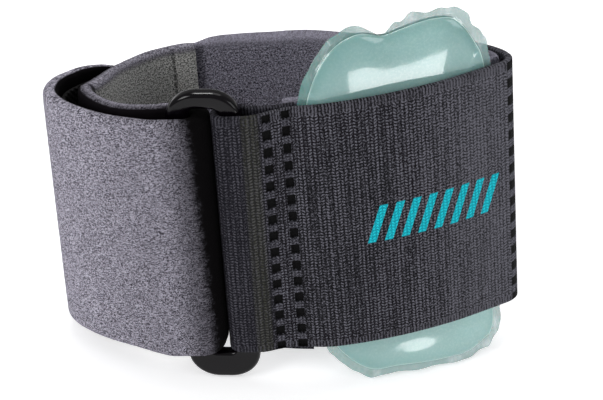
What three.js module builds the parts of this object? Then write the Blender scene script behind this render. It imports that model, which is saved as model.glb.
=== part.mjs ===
// A forearm band of the kind worn for tennis elbow, standing as a loose loop.
// A grey foam strap threads a ring buckle and folds back on itself. A black woven
// elastic runs from the buckle to the right-hand bend. A heather foam pad lines the
// rest of the loop, and a soft air cell sits between the elastic and the pad.
//
// The band is laid out flat on z = 0 with x to the right, y to the back and z along
// its width. One closed route in plan is the parting line of the layers: what lies
// outside the line starts on it, and what lies inside keeps a clearance from it.

import * as THREE from 'three';

// Driving sizes in millimetres.
const BAND_WIDTH = 76;
const LOOP_WIDTH = 120;
const LOOP_DEPTH = 54;
const CLEARANCE = 0.3;

const STRAP_THICKNESS = 4.2;
const STRAP_ROUNDING = 1.6;
const HOOK_THICKNESS = 1.2;
const HOOK_MARGIN = 4;
const SOFT_STRETCH = 3.5;
const LEFT_BULGE = 5;

const PAD_THICKNESS = 5;
const PAD_ROUNDING = 1.8;
const LAP_LENGTH = 8;

const ELASTIC_THICKNESS = 1.8;
const ELASTIC_ROUNDING = 0.5;
const RETURN_DROP = 2.4;
const RETURN_SEWN = 3;

const BUCKLE_WIDTH = 20;
const BUCKLE_THICKNESS = 3.8;
const BUCKLE_EDGE = 1.5;
const SLOT_WIDTH = 7.6;
const BUCKLE_CORNER = 8.4;
const SLOT_CORNER = 2;
const SLOT_HEADROOM = 1.5;
const HEAD_BAR = 4.8;
const FOOT_BAR = 8.6;

const CELL_WIDTH = 55;
const CELL_HEIGHT = 110;
const CELL_THICKNESS = 10.5;
const CELL_RISE = 39.5;
const CELL_CURL = 5;
const FLANGE_WIDTH = 4.4;
const FLANGE_THICKNESS = 1;
const CELL_SWELL = 16;
const POCKET_CLOSING = 10;

// Where things sit along the loop, measured across it from its middle.
const BUCKLE_AT = -23.4;
const RETURN_END_AT = 0.6;
const TONGUE_END_AT = -2.5;
const CELL_AT = 28;
const LAP_AT = -29;
const FREE_END_AT = -51;
const ELASTIC_TAIL = 14;
const HOOK_START_AT = -46;

// How the soft loop settles: its left lobe leans, and its back sags.
const LEAN_ACROSS = 4;
const LEAN_FORWARD = 6;
const BACK_SAG = 4;

// The parting line. across and deep are shares of the loop's width and depth. bar, hook
// and bulge open the strap's two runs by the buckle's bar, the hook patch and the bulge.
// loft is the share of the pad's thickness that is left where it is pinched.
const ROUTE = [
  { across: 0.469, deep: 0.065, bar: 0, hook: 0, bulge: 0, loft: 0.3 },
  { across: 0.46, deep: 0.033, bar: 0, hook: 0, bulge: 0, loft: 0.3 },
  { across: 0.434, deep: 0, bar: 0, hook: 0, bulge: 0, loft: 0.4 },
  { across: 0.407, deep: -0.03, bar: 0, hook: 0, bulge: 0, loft: 0.5 },
  { across: 0.317, deep: -0.124, bar: 0, hook: 0, bulge: 0, loft: 0.5 },
  { across: 0.187, deep: -0.218, bar: 0, hook: 0, bulge: 0, loft: 0.5 },
  { across: 0.062, deep: -0.268, bar: 0, hook: 0, bulge: 0, loft: 0.5 },
  { across: -0.03, deep: -0.268, bar: 0, hook: 0, bulge: 0, loft: 0.5 },
  { across: -0.1, deep: -0.308, bar: 0, hook: 0, bulge: 0, loft: 0.5 },
  { across: -0.114, deep: -0.306, bar: 1, hook: 0, bulge: 0, loft: 0.5 },
  { across: -0.195, deep: -0.291, bar: 1, hook: 0, bulge: 0, loft: 0.5 },
  { across: -0.285, deep: -0.273, bar: 1, hook: 0, bulge: 0, loft: 0.5 },
  { across: -0.305, deep: -0.268, bar: 0.9, hook: 0.1, bulge: 0, loft: 0.5 },
  { across: -0.373, deep: -0.2, bar: 0, hook: 1, bulge: 0, loft: 0.5 },
  { across: -0.43, deep: -0.131, bar: 0, hook: 1, bulge: 0, loft: 0.5 },
  { across: -0.48, deep: -0.05, bar: 0, hook: 1, bulge: 0.25, loft: 0.5 },
  { across: -0.516, deep: 0.037, bar: 0, hook: 1, bulge: 0.55, loft: 0.5 },
  { across: -0.529, deep: 0.111, bar: 0, hook: 1, bulge: 0.75, loft: 0.5 },
  { across: -0.522, deep: 0.2, bar: 0, hook: 1, bulge: 0.9, loft: 0.5 },
  { across: -0.5, deep: 0.281, bar: 0, hook: 1, bulge: 0.95, loft: 0.5 },
  { across: -0.478, deep: 0.35, bar: 0, hook: 1, bulge: 0.85, loft: 0.5 },
  { across: -0.45, deep: 0.411, bar: 0, hook: 1, bulge: 0.5, loft: 0.5 },
  { across: -0.421, deep: 0.461, bar: 0, hook: 1, bulge: 0.05, loft: 0.5 },
  { across: -0.39, deep: 0.513, bar: 0, hook: 0.3, bulge: 0, loft: 0.5 },
  { across: -0.337, deep: 0.587, bar: 0, hook: 0, bulge: 0, loft: 0.5 },
  { across: -0.279, deep: 0.646, bar: 0, hook: 0, bulge: 0, loft: 0.5 },
  { across: -0.2, deep: 0.687, bar: 0, hook: 0, bulge: 0, loft: 0.75 },
  { across: -0.083, deep: 0.7, bar: 0, hook: 0, bulge: 0, loft: 1 },
  { across: 0.033, deep: 0.665, bar: 0, hook: 0, bulge: 0, loft: 1 },
  { across: 0.125, deep: 0.607, bar: 0, hook: 0, bulge: 0, loft: 1 },
  { across: 0.225, deep: 0.512, bar: 0, hook: 0, bulge: 0, loft: 1 },
  { across: 0.297, deep: 0.424, bar: 0, hook: 0, bulge: 0, loft: 1 },
  { across: 0.36, deep: 0.32, bar: 0, hook: 0, bulge: 0, loft: 0.9 },
  { across: 0.41, deep: 0.222, bar: 0, hook: 0, bulge: 0, loft: 0.7 },
  { across: 0.443, deep: 0.155, bar: 0, hook: 0, bulge: 0, loft: 0.5 },
  { across: 0.461, deep: 0.11, bar: 0, hook: 0, bulge: 0, loft: 0.35 },
];

// The air cell's outline: shares of its width and height from its middle, from the left
// edge over the top, with the dip near the middle of the top weld.
const CELL_OUTLINE = [
  { across: -0.498, up: 0.18 },
  { across: -0.494, up: 0.314 },
  { across: -0.444, up: 0.396 },
  { across: -0.325, up: 0.468 },
  { across: -0.19, up: 0.492 },
  { across: -0.035, up: 0.459 },
  { across: 0.06, up: 0.482 },
  { across: 0.24, up: 0.493 },
  { across: 0.355, up: 0.481 },
  { across: 0.455, up: 0.4 },
  { across: 0.494, up: 0.31 },
  { across: 0.5, up: 0 },
  { across: 0.497, up: -0.375 },
  { across: 0.475, up: -0.46 },
  { across: 0.37, up: -0.503 },
  { across: 0.19, up: -0.5 },
  { across: -0.08, up: -0.486 },
  { across: -0.245, up: -0.482 },
  { across: -0.36, up: -0.442 },
  { across: -0.445, up: -0.373 },
  { across: -0.48, up: -0.17 },
];

// Fineness of the meshes.
const ROUTE_SAMPLES = 40;
const STEP_LENGTH = 3;
const FOLD_STEPS = 9;
const SOFT_SAMPLES = 4;
const CORNER_STEPS = 2;
const CELL_RINGS = 8;
const CELL_SPOKES = 66;

const smooth = (value) => {
  const share = THREE.MathUtils.clamp(value, 0, 1);
  return share * share * (3 - 2 * share);
};

// The route as a smooth closed curve with a table of lengths.
const routeCurve = new THREE.CatmullRomCurve3(
  ROUTE.map((row) => new THREE.Vector3(row.across * LOOP_WIDTH, row.deep * LOOP_DEPTH, 0)),
  true,
  'centripetal',
);
const sampleCount = ROUTE.length * ROUTE_SAMPLES;
const routeLengths = [0];
const routePoints = [routeCurve.getPoint(0)];
for (let i = 1; i <= sampleCount; i += 1) {
  const point = routeCurve.getPoint(i / sampleCount);
  routeLengths.push(routeLengths[i - 1] + point.distanceTo(routePoints[i - 1]));
  routePoints.push(point);
}
const ROUTE_LENGTH = routeLengths[sampleCount];

// Share of the way round the curve at a length along it.
function turnAt(length) {
  const wanted = ((length % ROUTE_LENGTH) + ROUTE_LENGTH) % ROUTE_LENGTH;
  let low = 0;
  let high = sampleCount;
  while (high - low > 1) {
    const middle = (low + high) >> 1;
    if (routeLengths[middle] <= wanted) low = middle;
    else high = middle;
  }
  const span = routeLengths[high] - routeLengths[low];
  return (low + (wanted - routeLengths[low]) / span) / sampleCount;
}

// A named column of the table: rows are joined by straight lines, then averaged over a
// short stretch of the route so that the foam bends softly.
function column(name, length) {
  let total = 0;
  for (let i = -SOFT_SAMPLES; i <= SOFT_SAMPLES; i += 1) {
    const place = turnAt(length + (i / SOFT_SAMPLES) * SOFT_STRETCH) * ROUTE.length;
    const row = Math.floor(place) % ROUTE.length;
    const next = (row + 1) % ROUTE.length;
    total += THREE.MathUtils.lerp(ROUTE[row][name], ROUTE[next][name], place - Math.floor(place));
  }
  return total / (2 * SOFT_SAMPLES + 1);
}

// A point on the route moved outward by a distance, with its outward normal.
function placeAt(length, outward = 0) {
  const turn = turnAt(length);
  const nudge = 0.5 / sampleCount;
  const ahead = routeCurve.getPoint((turn + nudge) % 1);
  const behind = routeCurve.getPoint((turn - nudge + 1) % 1);
  const along = ahead.sub(behind).normalize();
  const normal = new THREE.Vector2(along.y, -along.x).negate();
  const point = routeCurve.getPoint(turn);
  return { x: point.x + normal.x * outward, y: point.y + normal.y * outward, normal, along };
}

// The length along the route at a place across the front, or across the back.
function lengthWhere(across, isFront) {
  const half = sampleCount / 2;
  for (let i = 1; i <= sampleCount; i += 1) {
    const before = routePoints[i - 1];
    const after = routePoints[i];
    const passes = (before.x - across) * (after.x - across) <= 0;
    if (passes && (i < half) === isFront) {
      const share = (across - before.x) / (after.x - before.x);
      return THREE.MathUtils.lerp(routeLengths[i - 1], routeLengths[i], share);
    }
  }
  return 0;
}

// The settled shape: a lean that is steady across the buckle, and a sag at the back.
function leanAt(x) {
  const towardsBuckle = smooth((LOOP_WIDTH * 0.04 - x) / (LOOP_WIDTH * 0.12));
  const pastBuckle = smooth((-LOOP_WIDTH * 0.3 - x) / (LOOP_WIDTH * 0.12));
  return 0.5 * towardsBuckle + 0.5 * pastBuckle;
}

function settle(x, y, z) {
  const lean = leanAt(x) * (z / BAND_WIDTH - 0.5);
  const sag = BACK_SAG * smooth((y - LOOP_DEPTH * 0.15) / (LOOP_DEPTH * 0.45));
  return new THREE.Vector3(x + LEAN_ACROSS * lean, y - LEAN_FORWARD * lean, z - sag);
}

// A closed body from rings of points, capped by a fan at both ends.
function loft(rings) {
  const positions = [];
  const faces = [];
  const count = rings[0].length;
  rings.forEach((ring) => ring.forEach((point) => positions.push(point.x, point.y, point.z)));
  for (let i = 0; i + 1 < rings.length; i += 1) {
    for (let j = 0; j < count; j += 1) {
      const a = i * count + j;
      const b = i * count + ((j + 1) % count);
      faces.push(a, b, b + count, a, b + count, a + count);
    }
  }
  [0, rings.length - 1].forEach((end) => {
    const middle = new THREE.Vector3();
    rings[end].forEach((point) => middle.addScaledVector(point, 1 / count));
    const hub = positions.length / 3;
    positions.push(middle.x, middle.y, middle.z);
    for (let j = 0; j < count; j += 1) {
      const a = end * count + j;
      const b = end * count + ((j + 1) % count);
      if (end === 0) faces.push(hub, b, a);
      else faces.push(hub, a, b);
    }
  });
  return closedGeometry(positions, faces);
}

// Turns the faces over where the body would be inside out.
function closedGeometry(positions, faces) {
  const corner = (index) => new THREE.Vector3().fromArray(positions, index * 3);
  let volume = 0;
  for (let i = 0; i < faces.length; i += 3) {
    const cross = corner(faces[i + 1]).cross(corner(faces[i + 2]));
    volume += corner(faces[i]).dot(cross);
  }
  const outward = volume > 0 ? faces : faces.slice().reverse();
  const geometry = new THREE.BufferGeometry();
  geometry.setAttribute('position', new THREE.Float32BufferAttribute(positions, 3));
  geometry.setIndex(outward);
  geometry.computeVertexNormals();
  return geometry;
}

// Stations from one length to another, about a step apart.
function stations(from, to) {
  const steps = Math.max(2, Math.round(Math.abs(to - from) / STEP_LENGTH));
  return Array.from({ length: steps + 1 }, (_, i) => THREE.MathUtils.lerp(from, to, i / steps));
}

// One run of a strip: its middle line at each station, and its thickness there. A run
// after a fold has its other face outward.
function run(from, to, outwardAt, thicknessAt, { low = 0, high = BAND_WIDTH, folded = false } = {}) {
  return stations(from, to).map((length) => {
    const thickness = thicknessAt(length);
    const place = placeAt(length, outwardAt(length));
    const normal = folded ? place.normal.clone().negate() : place.normal;
    return { x: place.x, y: place.y, normal, thickness, low, high };
  });
}

// The half turn of a strip round the rounded edge of a bar. side is 1 where it turns
// towards the start of the route, and -1 where it turns the other way.
function foldRoundBar(length, side, thickness) {
  const radius = BUCKLE_THICKNESS / 2 + CLEARANCE + thickness / 2;
  const middle = placeAt(length, -(BUCKLE_THICKNESS / 2 + CLEARANCE));
  const fold = [];
  for (let i = 1; i < FOLD_STEPS; i += 1) {
    const angle = (i / FOLD_STEPS) * Math.PI;
    const outward = Math.cos(angle);
    const sideways = Math.sin(angle) * side;
    const normal = new THREE.Vector2(
      middle.normal.x * outward - middle.along.x * sideways,
      middle.normal.y * outward - middle.along.y * sideways,
    );
    fold.push({
      x: middle.x + normal.x * radius,
      y: middle.y + normal.y * radius,
      normal,
      thickness,
      low: 0,
      high: BAND_WIDTH,
    });
  }
  return fold;
}

// A strip with rounded edges swept along its middle line.
function strip(path, rounding) {
  const rings = path.map((place) => {
    const half = place.thickness / 2;
    const round = Math.min(rounding, half * 0.96);
    const corners = [
      { side: 1, z: place.low + round, from: -0.5 },
      { side: 1, z: place.high - round, from: 0 },
      { side: -1, z: place.high - round, from: 0.5 },
      { side: -1, z: place.low + round, from: 1 },
    ];
    return corners.flatMap((corner) => {
      const points = [];
      for (let i = 0; i <= CORNER_STEPS; i += 1) {
        const angle = (corner.from + (0.5 * i) / CORNER_STEPS) * Math.PI;
        const outward = corner.side * (half - round) + Math.cos(angle) * round;
        const z = corner.z + Math.sin(angle) * round;
        points.push(settle(place.x + place.normal.x * outward, place.y + place.normal.y * outward, z));
      }
      return points;
    });
  });
  return loft(rings);
}

// Lengths along the route that the pieces share.
const buckleLength = lengthWhere(BUCKLE_AT, true);
const slotLength = BAND_WIDTH + 2 * SLOT_HEADROOM;
const plateLength = slotLength + HEAD_BAR + FOOT_BAR;
const slotAboveMiddle = (FOOT_BAR - HEAD_BAR) / 2;
const barOffset = (SLOT_WIDTH + BUCKLE_THICKNESS) / 2;
const strapFold = buckleLength + barOffset;
const elasticFold = buckleLength - barOffset;
const cellLength = lengthWhere(CELL_AT, true);
const lapEnd = lengthWhere(LAP_AT, false);
const padEnd = lapEnd - LAP_LENGTH;
const freeEnd = lengthWhere(FREE_END_AT, false);
const barOpening = BUCKLE_THICKNESS + CLEARANCE;
const returnEnd = lengthWhere(RETURN_END_AT, true);

// How far the strap's inner run stands off the parting line.
function strapOpening(length) {
  const bar = column('bar', length) * barOpening;
  const hook = column('hook', length) * (HOOK_THICKNESS + CLEARANCE);
  const bulge = column('bulge', length) * LEFT_BULGE;
  const lap = smooth((length - padEnd + LAP_LENGTH) / LAP_LENGTH);
  return bar + hook + bulge + lap * (padThickness(Math.max(length, padEnd)) + CLEARANCE);
}

function strapThickness(length) {
  const thinned = smooth((length - padEnd + LAP_LENGTH) / LAP_LENGTH);
  return STRAP_THICKNESS * (1 - 0.35 * thinned);
}

function padThickness(length) {
  return PAD_THICKNESS * column('loft', length);
}

// The cell swells away from its weld, and the pad behind it makes room for it.
function cellThickness(share) {
  return FLANGE_THICKNESS + (CELL_THICKNESS - FLANGE_THICKNESS) * (1 - share * share) ** 0.6;
}

// The elastic's return layer leaves the bar and closes up to the outer layer.
function returnOpening(length) {
  const ramp = elasticFold - returnEnd - 2 * RETURN_SEWN;
  return barOpening * smooth((length - returnEnd - RETURN_SEWN) / ramp);
}

function pocketOpening(length) {
  const edge = CELL_WIDTH / 2 - Math.abs(length - cellLength);
  const swell = smooth(edge / CELL_SWELL);
  const room = THREE.MathUtils.lerp(ELASTIC_THICKNESS, CELL_THICKNESS, swell);
  const closing = smooth((length + POCKET_CLOSING * 0.6) / POCKET_CLOSING);
  const front = length < ROUTE_LENGTH / 2 ? closing : 0;
  return front * (room + 2 * CLEARANCE + returnOpening(length));
}

function strapGeometry() {
  const inner = (length) => -(CLEARANCE + strapOpening(length) + strapThickness(length) / 2);
  const outer = (length) => strapThickness(length) / 2;
  const path = [
    ...run(freeEnd, strapFold, outer, () => STRAP_THICKNESS),
    ...foldRoundBar(strapFold, 1, STRAP_THICKNESS),
    ...run(strapFold, lapEnd, inner, strapThickness, { folded: true }),
  ];
  return strip(path, STRAP_ROUNDING);
}

function hookGeometry() {
  const outward = () => -(CLEARANCE + HOOK_THICKNESS / 2);
  const start = lengthWhere(HOOK_START_AT, true);
  const span = { low: HOOK_MARGIN, high: BAND_WIDTH - HOOK_MARGIN };
  return strip(run(start, freeEnd, outward, () => HOOK_THICKNESS, span), HOOK_THICKNESS / 2);
}

function elasticGeometry() {
  const thickness = () => ELASTIC_THICKNESS;
  const outer = () => ELASTIC_THICKNESS / 2;
  const inner = (length) => -(CLEARANCE + returnOpening(length) + ELASTIC_THICKNESS / 2);
  const path = [
    ...run(-ELASTIC_TAIL, elasticFold, outer, thickness),
    ...foldRoundBar(elasticFold, -1, ELASTIC_THICKNESS),
    ...run(elasticFold, returnEnd, inner, thickness, { folded: true }),
  ];
  const foldStart = path.length - stations(elasticFold, returnEnd).length;
  path.slice(foldStart).forEach((place, i, places) => {
    place.low = -RETURN_DROP * smooth((2 * i) / places.length);
  });
  return strip(path, ELASTIC_ROUNDING);
}

function padGeometry() {
  const outward = (length) => -(CLEARANCE + pocketOpening(length) + padThickness(length) / 2);
  const tongueEnd = lengthWhere(TONGUE_END_AT, true);
  const back = run(padEnd - ROUTE_LENGTH, 0, outward, padThickness).slice(0, -1);
  const front = run(0, tongueEnd, outward, padThickness);
  return strip([...back, ...front], PAD_ROUNDING);
}

// A rounded ring plate with one slot, set along the parting line. The bevel adds its edge
// to the plate and takes it from the slot.
function buckleGeometry() {
  const plate = new THREE.Shape();
  const plateSize = { width: BUCKLE_WIDTH, length: plateLength, corner: BUCKLE_CORNER };
  roundedOutline(plate, plateSize, 0, BUCKLE_EDGE);
  const slot = new THREE.Path();
  const slotSize = { width: SLOT_WIDTH, length: slotLength, corner: SLOT_CORNER };
  roundedOutline(slot, slotSize, slotAboveMiddle, -BUCKLE_EDGE);
  plate.holes.push(slot);
  const geometry = new THREE.ExtrudeGeometry(plate, {
    depth: BUCKLE_THICKNESS - 2 * BUCKLE_EDGE,
    bevelThickness: BUCKLE_EDGE,
    bevelSize: BUCKLE_EDGE,
    bevelSegments: 3,
    curveSegments: 7,
  });
  geometry.translate(0, 0, BUCKLE_EDGE - BUCKLE_THICKNESS / 2);
  return geometry;
}

// A rectangle with round corners, drawn inside its size by an edge.
function roundedOutline(path, { width, length, corner }, middle, edge) {
  const across = width / 2 - corner;
  const up = length / 2 - corner;
  const radius = corner - edge;
  path.absarc(across, middle + up, radius, 0, 0.5 * Math.PI);
  path.absarc(-across, middle + up, radius, 0.5 * Math.PI, Math.PI);
  path.absarc(-across, middle - up, radius, Math.PI, 1.5 * Math.PI);
  path.absarc(across, middle - up, radius, 1.5 * Math.PI, 2 * Math.PI);
  path.closePath();
}

// The buckle keeps its shape, so it is turned into the lean of the strap round it.
function buckleMatrix() {
  const rise = BAND_WIDTH / 2 - slotAboveMiddle;
  const place = placeAt(buckleLength, -(CLEARANCE + BUCKLE_THICKNESS / 2));
  const middle = settle(place.x, place.y, rise);
  const up = settle(place.x, place.y, rise + 1).sub(middle).normalize();
  const outward = new THREE.Vector3(place.normal.x, place.normal.y, 0);
  const across = new THREE.Vector3().crossVectors(up, outward).normalize();
  outward.crossVectors(across, up);
  return new THREE.Matrix4().makeBasis(across, up, outward).setPosition(middle);
}

// A pillow of two sheets with a flat welded flange, curved along the parting line.
function cellGeometry() {
  const outline = new THREE.CatmullRomCurve3(
    CELL_OUTLINE.map((row) => new THREE.Vector3(row.across * CELL_WIDTH, row.up * CELL_HEIGHT, 0)),
    true,
    'centripetal',
  );
  const weldAcross = 1 - (2 * FLANGE_WIDTH) / CELL_WIDTH;
  const weldUp = 1 - (2 * FLANGE_WIDTH) / CELL_HEIGHT;
  const edge = outline.getPoints(CELL_SPOKES).slice(0, -1);
  const sheets = [1, -1].map((side) => {
    const rings = [];
    for (let ring = 1; ring <= CELL_RINGS + 1; ring += 1) {
      const onFlange = ring > CELL_RINGS;
      const share = onFlange ? 1 : Math.sin((ring / CELL_RINGS) * 0.5 * Math.PI);
      const across = onFlange ? 1 : share * weldAcross;
      const up = onFlange ? 1 : share * weldUp;
      rings.push(edge.map((point) => cellPoint(point.x * across, point.y * up, share, side)));
    }
    return rings;
  });
  return pillow(sheets);
}

// A point of one sheet, at a place from the cell's middle. share is 1 at the weld.
function cellPoint(along, up, share, side) {
  const spread = Math.min(share, Math.abs(along) / (CELL_WIDTH / 2 - FLANGE_WIDTH));
  const middle = CLEARANCE + cellThickness(spread) / 2;
  const z = CELL_RISE + up;
  const curl = CELL_CURL * smooth(-z / (CELL_HEIGHT / 2 - CELL_RISE)) * (1 - spread ** 2);
  const place = placeAt(cellLength - along, -middle + curl + (side * cellThickness(share)) / 2);
  return settle(place.x, place.y, z);
}

function pillow(sheets) {
  const positions = [];
  const faces = [];
  const count = CELL_SPOKES;
  sheets.forEach((rings, sheet) => {
    const start = positions.length / 3;
    const hub = new THREE.Vector3();
    rings[0].forEach((point) => hub.addScaledVector(point, 1 / count));
    positions.push(hub.x, hub.y, hub.z);
    rings.forEach((ring) => ring.forEach((point) => positions.push(point.x, point.y, point.z)));
    for (let j = 0; j < count; j += 1) {
      const next = (j + 1) % count;
      const turn = (a, b, c) => (sheet === 0 ? faces.push(a, b, c) : faces.push(a, c, b));
      turn(start, start + 1 + j, start + 1 + next);
      for (let i = 0; i + 1 < rings.length; i += 1) {
        const near = start + 1 + i * count;
        const far = near + count;
        turn(near + j, far + j, far + next);
        turn(near + j, far + next, near + next);
      }
    }
  });
  const rimStart = 1 + (sheets[0].length - 1) * count;
  const sheetSize = 1 + sheets[0].length * count;
  for (let j = 0; j < count; j += 1) {
    const a = rimStart + j;
    const b = rimStart + ((j + 1) % count);
    faces.push(a, a + sheetSize, b + sheetSize, a, b + sheetSize, b);
  }
  return closedGeometry(positions, faces);
}

function part(name, geometry, color, roughness) {
  const material = new THREE.MeshStandardMaterial({ color, roughness, metalness: 0 });
  const mesh = new THREE.Mesh(geometry, material);
  mesh.name = name;
  return mesh;
}

const band = new THREE.Group();
band.add(part('strap', strapGeometry(), 0x77747f, 0.95));
band.add(part('hook_tab', hookGeometry(), 0x141216, 0.9));
band.add(part('elastic_band', elasticGeometry(), 0x2b2932, 0.85));
band.add(part('lining_pad', padGeometry(), 0x3f3c46, 0.95));
const cell = part('air_cell', cellGeometry(), 0x8abab4, 0.25);
band.add(cell);
const buckle = part('buckle', buckleGeometry(), 0x1b161a, 0.35);
buckle.applyMatrix4(buckleMatrix());
band.add(buckle);

// The band stands on three feet: the buckle's lower end, the cell's lower weld and the
// lowest edge of the back.
function lowestPoint(mesh, direction) {
  mesh.updateMatrixWorld();
  const position = mesh.geometry.getAttribute('position');
  const points = Array.from({ length: position.count }, (_, i) =>
    new THREE.Vector3().fromBufferAttribute(position, i).applyMatrix4(mesh.matrixWorld));
  return points.reduce((best, point) => (point.dot(direction) < best.dot(direction) ? point : best));
}

const floorUp = new THREE.Vector3(0, 0, 1);
for (let i = 0; i < 8; i += 1) {
  const feet = ['buckle', 'air_cell', 'lining_pad'].map((name) => lowestPoint(band.getObjectByName(name), floorUp));
  floorUp.crossVectors(feet[1].sub(feet[0]), feet[2].sub(feet[0])).normalize();
}
band.quaternion.setFromUnitVectors(floorUp, new THREE.Vector3(0, 0, 1));
band.updateMatrixWorld(true);
const bounds = new THREE.Box3().setFromObject(band, true);
const middle = bounds.getCenter(new THREE.Vector3());
band.position.set(-middle.x, -middle.y, -bounds.min.z);

export default band;
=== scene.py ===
import math
import bpy
import bmesh
from mathutils import Matrix, Vector, noise


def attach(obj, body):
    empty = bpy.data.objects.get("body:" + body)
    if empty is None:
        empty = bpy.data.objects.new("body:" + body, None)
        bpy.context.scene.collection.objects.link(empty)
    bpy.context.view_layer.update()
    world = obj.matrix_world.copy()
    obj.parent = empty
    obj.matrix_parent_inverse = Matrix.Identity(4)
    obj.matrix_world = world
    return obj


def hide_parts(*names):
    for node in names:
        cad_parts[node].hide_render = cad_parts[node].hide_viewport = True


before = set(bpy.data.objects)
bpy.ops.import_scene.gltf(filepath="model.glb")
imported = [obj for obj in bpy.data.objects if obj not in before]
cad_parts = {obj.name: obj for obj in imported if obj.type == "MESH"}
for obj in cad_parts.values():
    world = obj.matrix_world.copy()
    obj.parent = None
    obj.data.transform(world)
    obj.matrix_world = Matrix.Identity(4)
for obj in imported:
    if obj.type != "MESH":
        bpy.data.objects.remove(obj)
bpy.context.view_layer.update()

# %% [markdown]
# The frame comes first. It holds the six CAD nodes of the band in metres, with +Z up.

MM = 0.001

# %% [markdown]
# These are the band's driving sizes in millimetres, the same as in the CAD source. The
# dressed pieces repeat them, so each one lies on its own CAD node.

# %% Sizes
BAND_WIDTH, LOOP_WIDTH, LOOP_DEPTH, CLEARANCE = 76, 120, 54, 0.3
STRAP_THICKNESS, STRAP_ROUNDING, HOOK_THICKNESS, HOOK_MARGIN = 4.2, 1.6, 1.2, 4
SOFT_STRETCH, LEFT_BULGE = 3.5, 5
PAD_THICKNESS, PAD_ROUNDING, LAP_LENGTH = 5, 1.8, 8
ELASTIC_THICKNESS, ELASTIC_ROUNDING, RETURN_DROP, RETURN_SEWN = 1.8, 0.5, 2.4, 3
BUCKLE_WIDTH, BUCKLE_THICKNESS, HEAD_BAR, FOOT_BAR = 20, 3.8, 4.8, 8.6
BUCKLE_CORNER, SLOT_WIDTH, SLOT_CORNER, SLOT_HEADROOM = 8.4, 7.6, 2, 1.5
SLOT_LENGTH = BAND_WIDTH + 2 * SLOT_HEADROOM
BUCKLE_LENGTH = SLOT_LENGTH + HEAD_BAR + FOOT_BAR
SLOT_ABOVE_MIDDLE = (FOOT_BAR - HEAD_BAR) / 2
CELL_WIDTH, CELL_HEIGHT, CELL_THICKNESS, CELL_RISE, CELL_CURL = 55, 110, 10.5, 39.5, 5
FLANGE_WIDTH, FLANGE_THICKNESS, CELL_SWELL, POCKET_CLOSING = 4.4, 1, 16, 10
BUCKLE_AT, RETURN_END_AT, TONGUE_END_AT, CELL_AT, LAP_AT, FREE_END_AT = -23.4, 0.6, -2.5, 28, -29, -51
ELASTIC_TAIL, HOOK_START_AT = 14, -46
LEAN_ACROSS, LEAN_FORWARD, BACK_SAG = 4, 6, 4
# The turn and shift that stand the band on its three feet.
REST_TURN = (-6.211728065, -5.868638898, -0.318714280)
REST_SHIFT = (7.835177339, -12.776130459, 12.154796996)

# Rows of the parting line: across, deep, bar, hook, bulge, loft.
ROUTE = [
    (0.469, 0.065, 0, 0, 0, 0.3), (0.46, 0.033, 0, 0, 0, 0.3), (0.434, 0, 0, 0, 0, 0.4),
    (0.407, -0.03, 0, 0, 0, 0.5), (0.317, -0.124, 0, 0, 0, 0.5), (0.187, -0.218, 0, 0, 0, 0.5),
    (0.062, -0.268, 0, 0, 0, 0.5), (-0.03, -0.268, 0, 0, 0, 0.5), (-0.1, -0.308, 0, 0, 0, 0.5),
    (-0.114, -0.306, 1, 0, 0, 0.5), (-0.195, -0.291, 1, 0, 0, 0.5), (-0.285, -0.273, 1, 0, 0, 0.5),
    (-0.305, -0.268, 0.9, 0.1, 0, 0.5), (-0.373, -0.2, 0, 1, 0, 0.5), (-0.43, -0.131, 0, 1, 0, 0.5),
    (-0.48, -0.05, 0, 1, 0.25, 0.5), (-0.516, 0.037, 0, 1, 0.55, 0.5), (-0.529, 0.111, 0, 1, 0.75, 0.5),
    (-0.522, 0.2, 0, 1, 0.9, 0.5), (-0.5, 0.281, 0, 1, 0.95, 0.5), (-0.478, 0.35, 0, 1, 0.85, 0.5),
    (-0.45, 0.411, 0, 1, 0.5, 0.5), (-0.421, 0.461, 0, 1, 0.05, 0.5), (-0.39, 0.513, 0, 0.3, 0, 0.5),
    (-0.337, 0.587, 0, 0, 0, 0.5), (-0.279, 0.646, 0, 0, 0, 0.5), (-0.2, 0.687, 0, 0, 0, 0.75),
    (-0.083, 0.7, 0, 0, 0, 1), (0.033, 0.665, 0, 0, 0, 1), (0.125, 0.607, 0, 0, 0, 1),
    (0.225, 0.512, 0, 0, 0, 1), (0.297, 0.424, 0, 0, 0, 1), (0.36, 0.32, 0, 0, 0, 0.9),
    (0.41, 0.222, 0, 0, 0, 0.7), (0.443, 0.155, 0, 0, 0, 0.5), (0.461, 0.11, 0, 0, 0, 0.35),
]
# The air cell's outline: shares of its width and height from its middle.
CELL_OUTLINE = [
    (-0.498, 0.18), (-0.494, 0.314), (-0.444, 0.396), (-0.325, 0.468), (-0.19, 0.492), (-0.035, 0.459),
    (0.06, 0.482), (0.24, 0.493), (0.355, 0.481), (0.455, 0.4), (0.494, 0.31), (0.5, 0),
    (0.497, -0.375), (0.475, -0.46), (0.37, -0.503), (0.19, -0.5), (-0.08, -0.486), (-0.245, -0.482),
    (-0.36, -0.442), (-0.445, -0.373), (-0.48, -0.17),
]
print("buckle", round(BUCKLE_LENGTH, 1), "mm long,", len(ROUTE), "rows of the parting line")

# %% [markdown]
# One closed line in plan parts the layers. It is a centripetal spline through the rows,
# with a table of lengths, so every layer can be placed by how far along it lies.

# %% Parting line
def smooth(value):
    """0 to 1 with soft ends."""
    share = min(1.0, max(0.0, value))
    return share * share * (3 - 2 * share)


def lerp(a, b, share):
    return a + (b - a) * share


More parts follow.
